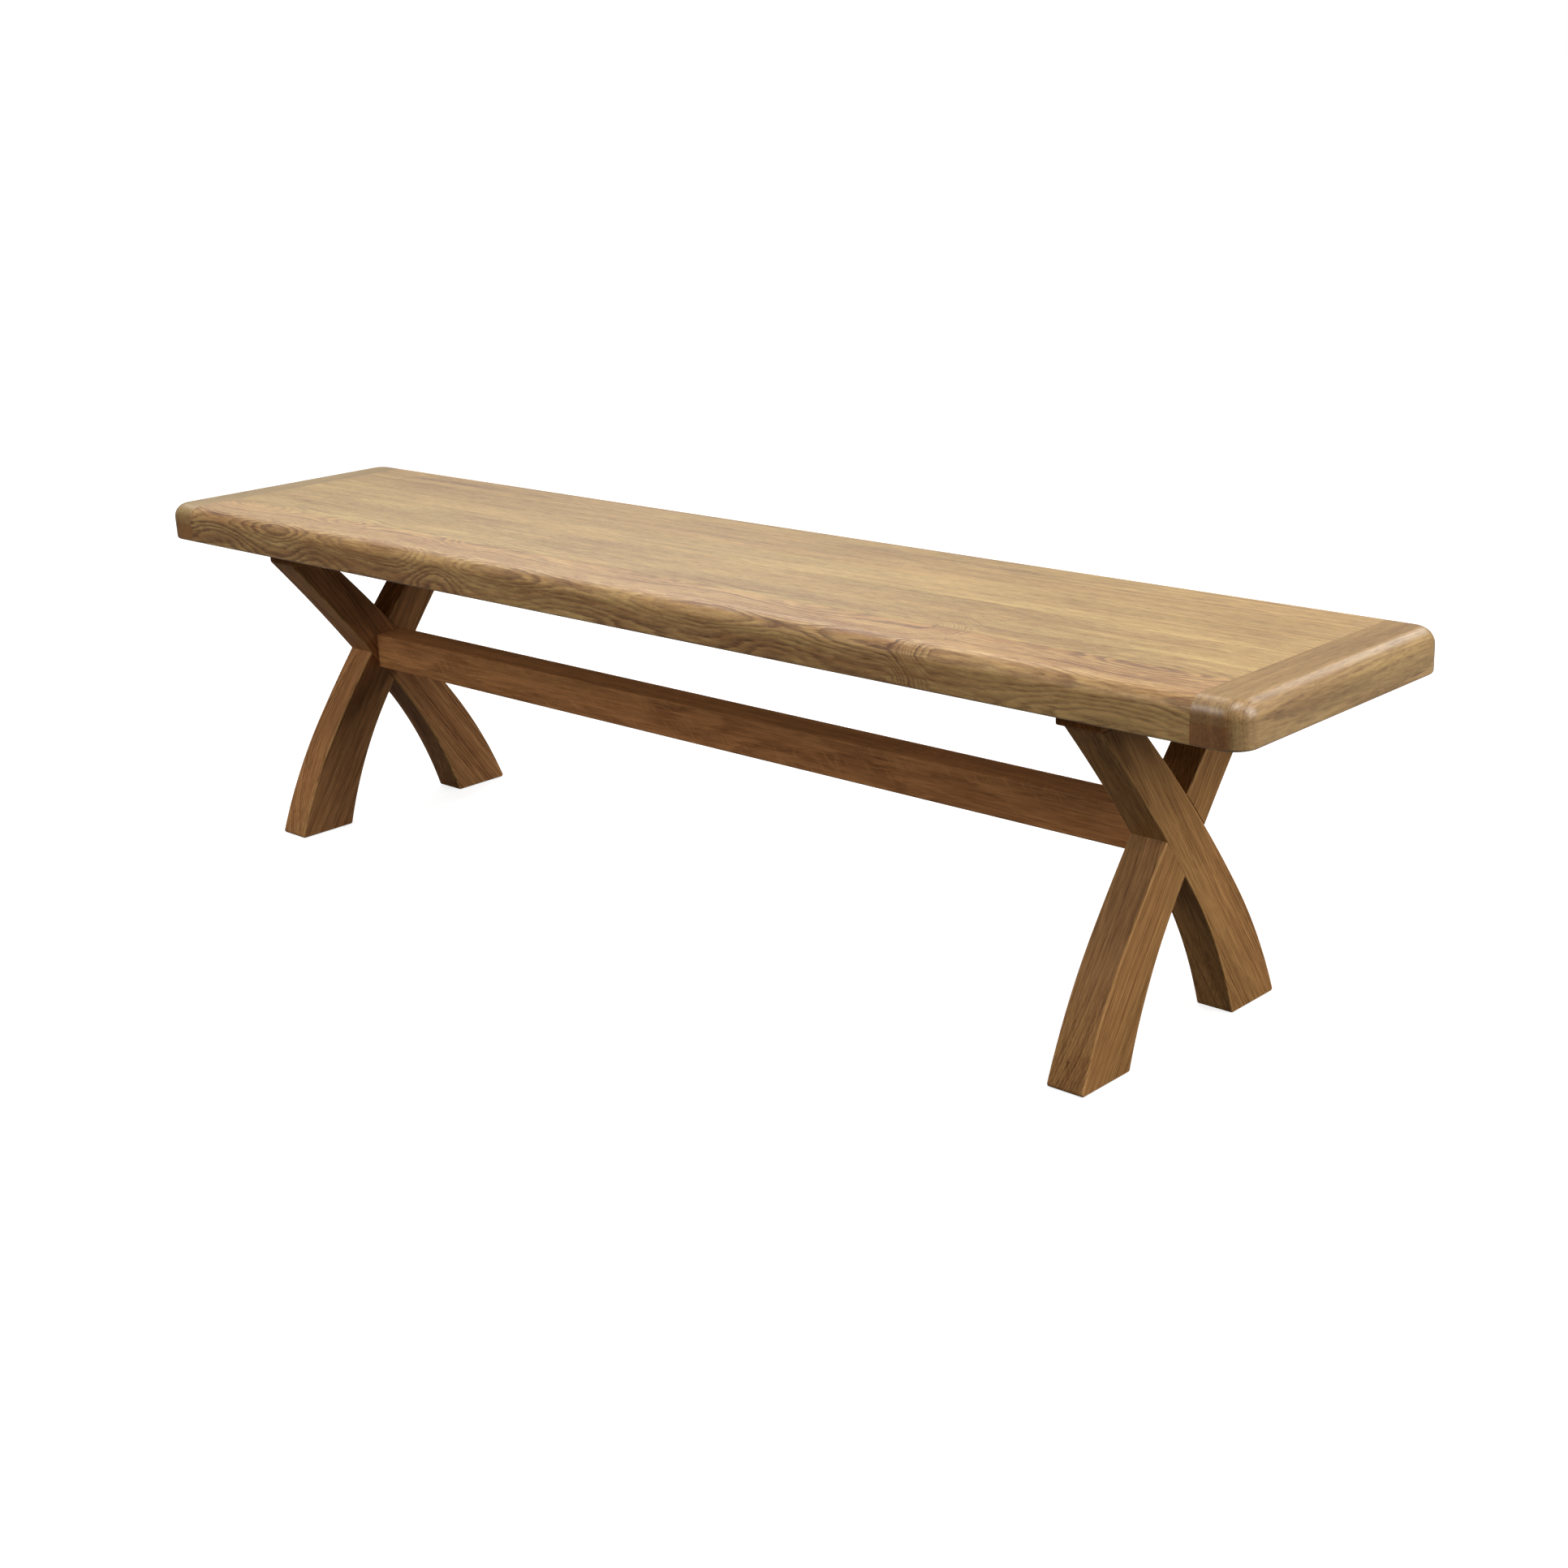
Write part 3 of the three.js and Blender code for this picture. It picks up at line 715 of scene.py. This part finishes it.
def foot_knot(tree):
    """A pin knot low on the front of the right front foot."""
    point = add_node(tree, "TexCoord").outputs["Object"]
    away = add_node(tree, "VectorMath", point, knot_centre, operation="SUBTRACT").outputs[0]
    away = add_node(tree, "VectorMath", away, knot_size, operation="DIVIDE").outputs[0]
    ragged = sums(tree, "SUBTRACT", noise(tree, point, (420, 420, 420)), 0.5)
    distance = add_node(tree, "VectorMath", away, operation="LENGTH").outputs["Value"]
    distance = sums(tree, "MULTIPLY_ADD", ragged, knot_raggedness, distance)
    return sums(tree, "SUBTRACT", 1.0, step_between(tree, distance, 0.5, 1.1))


def leg_oak(leg_name, oak_name, tints, knot=None):
    """Leg oak whose grain follows the leg's chord."""
    side = leg_name.split("_")[0]
    towards_top = -1 if leg_name.endswith("back_foot") else 1
    along = (0, towards_top * math.cos(leg_grain_lean), math.sin(leg_grain_lean))
    return oak(
        oak_name, *tints, leg_line, pith=leg_pith[side], ring_width=0.0021, seed=leg_seeds[leg_name],
        along=along, across=(1, 0, 0), curl=0.002, line_strength=leg_line_strength[side], variety=0.4,
        fibre_length=2.5, end_strength=0.6, knot=knot, shine=0.1, haze=0.0, lacquer=0.02)


# Each shape makes a leg of the right frame and, turned half a turn, one of the left frame
half_turn = Matrix.Rotation(math.pi, 3, "Z")
for outer in (True, False):
    own_outline = leg_outline() if outer else mirrored(leg_outline())
    other_joint = mirrored(joint_outline()) if outer else joint_outline()
    leg = sawn_along_x(own_outline, leg_low.x, leg_high.x)
    # The eased arrises take the second material, a paler oak that paints a highlight along each edge.
    ease_arrises(leg, leg_arris, flush_level=leg_high.z, material_index=1)
    if outer:
        shoulders = sawn_along_x(other_joint, leg_low.x - overrun, leg_middle + joint_gap)
    else:
        shoulders = sawn_along_x(other_joint, leg_middle - joint_gap, leg_high.x + overrun)
    halved = cut_away(leg, shoulders)
    turned = halved.copy()
    bmesh.ops.rotate(turned, verts=turned.verts, cent=(0, 0, 0), matrix=half_turn)
    right_name = "right_leg_back_foot" if outer else "right_leg_front_foot"
    left_name = "left_leg_front_foot" if outer else "left_leg_back_foot"
    for name, solid in ((right_name, halved), (left_name, turned)):
        oak_name = name.replace("_", " ") + " oak"
        knot = foot_knot if name == "right_leg_front_foot" else None
        face_oak = leg_oak(name, oak_name, leg_tints[name.split("_")[0]], knot)
        made = finished_piece(name, solid, face_oak)
        # The second material, on the arrises, is the paler oak of the painted highlight.
        made.data.materials.append(leg_oak(name, oak_name + " arris", arris_highlight_tints))


# Bearers
# A batten across the tops of each pair of legs, flush with their outer faces and proud of the inner ones.
# Countersunk screws run up through it into the seat, and others run down through it into the legs.

bearer_arris = 0.0022
countersink_radius = 0.0048
countersink_lip = 0.0005
countersink_depth = 0.0034
screw_hole_radius = 0.0026
lathe_sides = 32
seat_screw_numbers = (1, 2, 3, 4)


def lathed(profile, centre):
    """A turned solid from radii and levels, bottom first, round an upright axis."""
    solid = bmesh.new()
    rings = []
    for radius, level in profile:
        ring = []
        for side in range(lathe_sides if radius else 1):
            turn = 2 * math.pi * side / lathe_sides
            x, y = centre[0] + radius * math.cos(turn), centre[1] + radius * math.sin(turn)
            ring.append(solid.verts.new((x, y, level)))
        rings.append(ring)
    for low, high in zip(rings, rings[1:]):
        for side in range(lathe_sides):
            following = (side + 1) % lathe_sides
            below = [low[side % len(low)], low[following % len(low)]]
            above = [high[following % len(high)], high[side % len(high)]]
            solid.faces.new(list(dict.fromkeys(below + above)))
    for ring in (rings[0], rings[-1]):
        if len(ring) > 1:
            solid.faces.new(ring)
    bmesh.ops.recalc_face_normals(solid, faces=solid.faces)
    return solid


def upright_axis(node):
    """Where the axis of a turned piece stands."""
    low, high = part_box(node)
    return (low.x + high.x) / 2, (low.y + high.y) / 2


def squared_timber(low, high, arris, flush_level=None):
    """A timber that fills a box along X, with its arrises eased."""
    corners = ((low.y, low.z), (high.y, low.z), (high.y, high.z), (low.y, high.z))
    timber = sawn_along_x([Vector(corner) for corner in corners], low.x, high.x)
    return ease_arrises(timber, arris, flush_level=flush_level)


for side, seed in (("right", 41.0), ("left", 42.0)):
    low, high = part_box(f"{side}_bearer")
    bearer = squared_timber(low, high, bearer_arris, flush_level=high.z)
    hole_profile = [
        (countersink_radius, low.z - overrun),
        (countersink_radius, low.z + countersink_lip),
        (screw_hole_radius, low.z + countersink_depth),
        (screw_hole_radius, high.z + overrun),
    ]
    for number in seat_screw_numbers:
        bearer = cut_away(bearer, lathed(hole_profile, upright_axis(f"{side}_seat_screw_{number}")))
    bearer_oak = oak(
        f"{side} bearer oak", tint(190, 138, 76), tint(140, 96, 48), tint(76, 42, 20), pith=(0.5, 0.2),
        ring_width=0.0024, seed=seed, along=(0, 1, 0), across=(-1, 0, 0), fibre_length=2.5,
        end_strength=0.7, shine=0.1, haze=0.04, lacquer=0.02)
    finished_piece(f"{side}_bearer", bearer, bearer_oak)


# Stretcher
# One square rail of quartered oak, doweled between the inner faces of the leg frames at the crossings.
# Its arrises are eased, and short pale flecks, where the wood's rays reach the surface, cross its grain.

stretcher_arris = 0.0024
fleck_slant = 0.8
fleck_strength = 0.35


def ray_flecks(tree, place):
    """Short pale flecks that slant across the grain, in patches."""
    part = add_node(tree, "SeparateXYZ", place).outputs
    slid = sums(tree, "MULTIPLY_ADD", part["Z"], fleck_slant, part["X"])
    slanting = add_node(tree, "CombineXYZ", slid, part["Y"], part["Z"]).outputs[0]
    stroke = step_between(tree, noise(tree, slanting, (230, 60, 70), 1.0), 0.56, 0.68)
    patch = step_between(tree, noise(tree, place, (6, 20, 26), 1.0), 0.42, 0.65)
    return sums(tree, "MULTIPLY", sums(tree, "MULTIPLY", stroke, patch), fleck_strength)


stretcher_oak = oak(
    "Stretcher oak", tint(216, 152, 95), tint(166, 112, 66), tint(104, 62, 32), pith=(-0.9, 0.26),
    ring_width=0.0018, seed=51.0, variety=0.3, fibre_length=2.5, line_strength=0.7, fleck=ray_flecks,
    shine=0.1, haze=0.0, lacquer=0.02)
stretcher = squared_timber(*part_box("stretcher"), stretcher_arris)
finished_piece("stretcher", stretcher, stretcher_oak)


# Dowels
# Beech dowels, glued into the stretcher and the inner legs, two at each end, one above the other.
# Nothing of them shows.

beech = oak(
    "Beech dowel", tint(214, 182, 136), tint(198, 160, 112), tint(176, 136, 92), pith=(0.2, 0.1),
    ring_width=0.003, seed=61.0, line_strength=0.25)
for side in ("left", "right"):
    for dowel_place in ("upper", "lower"):
        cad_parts[f"{side}_stretcher_dowel_{dowel_place}"].data.materials[0] = beech


# Screws
# Zinc-plated countersunk wood screws with a cross recess. The seat screws show in the undersides of the
# bearers, and the leg screws, driven down through the bearers, lie hidden under the seat.

head_radius = 0.0045
head_rim = 0.0003
head_height = 0.0028
shank_radius = 0.00225
tip_length = 0.006
# An arm of the cross recess: its length, its width and, as it is centred on the head's face, twice its depth
recess_arm = (0.0052, 0.0009, 0.0034)


def zinc_plate():
    material, tree = empty_material("Zinc plate")
    point = add_node(tree, "TexCoord").outputs["Object"]
    patina = noise(tree, point, (900, 900, 900), 3.0)
    surface = add_node(tree, "BsdfPrincipled")
    colour = mixed(tree, patina, tint(206, 204, 198), tint(176, 174, 166))
    tree.links.new(colour, surface.inputs["Base Color"])
    surface.inputs["Metallic"].default_value = 1.0
    tree.links.new(sums(tree, "MULTIPLY_ADD", patina, 0.2, 0.22), surface.inputs["Roughness"])
    tree.links.new(surface.outputs[0], add_node(tree, "OutputMaterial").inputs[0])
    return material


def seat_screw(node):
    """A screw that stands on its head, with two crossed arms cut into the head."""
    low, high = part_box(node)
    centre = upright_axis(node)
    screw_profile = [
        (head_radius, low.z),
        (head_radius, low.z + head_rim),
        (shank_radius, low.z + head_height),
        (shank_radius, high.z - tip_length),
        (0.0, high.z),
    ]
    screw = lathed(screw_profile, centre)
    head_face = Matrix.Translation((*centre, low.z))
    for arm_turn in (0, math.pi / 2):
        arm = head_face @ Matrix.Rotation(arm_turn, 4, "Z") @ Matrix.Diagonal((*recess_arm, 1))
        recess = bmesh.new()
        bmesh.ops.create_cube(recess, size=1.0, matrix=arm)
        screw = cut_away(screw, recess)
    return screw


zinc = zinc_plate()
for side in ("left", "right"):
    for number in seat_screw_numbers:
        node = f"{side}_seat_screw_{number}"
        finished_piece(node, seat_screw(node), zinc)
    for end in ("front", "back"):
        for face in ("inner", "outer"):
            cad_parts[f"{side}_{end}_{face}_leg_screw"].data.materials[0] = zinc


# Studio
# A plain pale floor that fades to white, a white surround and six soft boxes. The larger ones stand past
# the right-hand end, behind and in front, and two small ones overhead light the near corner.

floor_reach = 60
floor_drop = 0.0005
light_distance = 3.2
light_aim = Vector((0, 0, 0.3))
surround_glow = 0.02


def floor_finish():
    """Near white to the camera, with faint shadows. To the light that falls on the bench it is grey."""
    shown_grey, lighting_grey = (0.5, 0.5, 0.5, 1), (0.15, 0.15, 0.15, 1)
    glow, glow_rise = 0.8, 0.2
    rise_start, rise_end = 0.8, 2.4
    material, tree = empty_material("Pale studio floor")
    place = add_node(tree, "TexCoord").outputs["Object"]
    distance = add_node(tree, "VectorMath", place, operation="LENGTH").outputs["Value"]
    rising = step_between(tree, distance, rise_start, rise_end)
    brightness = sums(tree, "MULTIPLY_ADD", rising, glow_rise, glow)
    glowing = add_node(tree, "Emission", (1, 1, 1, 1), brightness)
    paint = add_node(tree, "BsdfDiffuse", shown_grey)
    shown = add_node(tree, "AddShader", paint.outputs[0], glowing.outputs[0])
    matt = add_node(tree, "BsdfDiffuse", lighting_grey)
    seen = add_node(tree, "LightPath").outputs["Is Camera Ray"]
    mix = add_node(tree, "MixShader", seen, matt.outputs[0], shown.outputs[0])
    tree.links.new(mix.outputs[0], add_node(tree, "OutputMaterial").inputs[0])
    return material


floor_mesh = bpy.data.meshes.new("studio_floor")
floor_corners = [(x * floor_reach, y * floor_reach, 0) for x, y in ((-1, -1), (1, -1), (1, 1), (-1, 1))]
floor_mesh.from_pydata(floor_corners, [], [(0, 1, 2, 3)])
floor_mesh.materials.append(floor_finish())
studio_floor = bpy.data.objects.new("studio_floor", floor_mesh)
studio_floor.location.z = -floor_drop
bpy.context.scene.collection.objects.link(studio_floor)


def soft_light(name, azimuth, elevation, width, height, brightness):
    """A soft box that faces the bench. Azimuth runs from the right-hand end towards the back."""
    turn, rise = math.radians(azimuth), math.radians(elevation)
    way = Vector((math.cos(rise) * math.cos(turn), math.cos(rise) * math.sin(turn), math.sin(rise)))
    data = bpy.data.lights.new(name, "AREA")
    data.shape = "RECTANGLE"
    data.size = width
    data.size_y = height
    data.energy = math.pi * width * height * brightness
    light = bpy.data.objects.new(name, data)
    light.location = light_aim + way * light_distance
    light.rotation_euler = (-way).to_track_quat("-Z", "Y").to_euler()
    light.visible_camera = False
    bpy.context.scene.collection.objects.link(light)


soft_light("right_softbox", 13, 25, 1.6, 1.9, 6.4)
soft_light("back_left_softbox", 157, 46, 2.6, 1.3, 5.6)
soft_light("overhead_softbox", 334, 58, 0.9, 0.9, 11.5)
soft_light("corner_softbox", 10, 68, 0.65, 0.65, 13.0)
soft_light("front_fill", 252, 35, 1.7, 1.3, 5.4)
soft_light("back_fill", 74, 31, 1.4, 0.7, 4.6)

world = bpy.data.worlds.new("White surround")
bpy.context.scene.world = world
world.use_nodes = True
world.node_tree.nodes.clear()
seen_by_camera = add_node(world.node_tree, "LightPath").outputs["Is Camera Ray"]
strength = sums(world.node_tree, "MULTIPLY_ADD", seen_by_camera, 1 - surround_glow, surround_glow)
surround = add_node(world.node_tree, "Background", (1, 1, 1, 1), strength)
world.node_tree.links.new(surround.outputs[0], add_node(world.node_tree, "OutputWorld").inputs[0])
bpy.context.scene.view_settings.view_transform = "Standard"


# Camera
# It stands in front, past the right-hand end and 0.6 m above the seat, where the photographer's stood.
# Its place and angles were fitted to the edges and corners of the bench in the photograph.

photo_size = 1932
focal_length_px = 2807.85
centre_px = Vector((1066.0, 1056.5))
camera_place = Vector((1.9656, -1.8890, 1.0216))
yaw, pitch, roll = -0.73879, 0.34145, 0.03117
film_width = 36

forward = Vector((math.sin(yaw) * math.cos(pitch), math.cos(yaw) * math.cos(pitch), -math.sin(pitch)))
level_right = Vector((math.cos(yaw), -math.sin(yaw), 0))
level_down = forward.cross(level_right)
right = level_right * math.cos(roll) + level_down * math.sin(roll)
down = level_down * math.cos(roll) - level_right * math.sin(roll)
camera_data = bpy.data.cameras.new("camera")
camera_data.sensor_width = film_width
camera_data.lens = focal_length_px * film_width / photo_size
camera_data.shift_x = (photo_size / 2 - centre_px.x) / photo_size
camera_data.shift_y = (centre_px.y - photo_size / 2) / photo_size
camera = bpy.data.objects.new("camera", camera_data)
camera_turn = Matrix((right, -down, -forward)).transposed().to_4x4()
camera.matrix_world = Matrix.Translation(camera_place) @ camera_turn
bpy.context.scene.collection.objects.link(camera)
bpy.context.scene.camera = camera
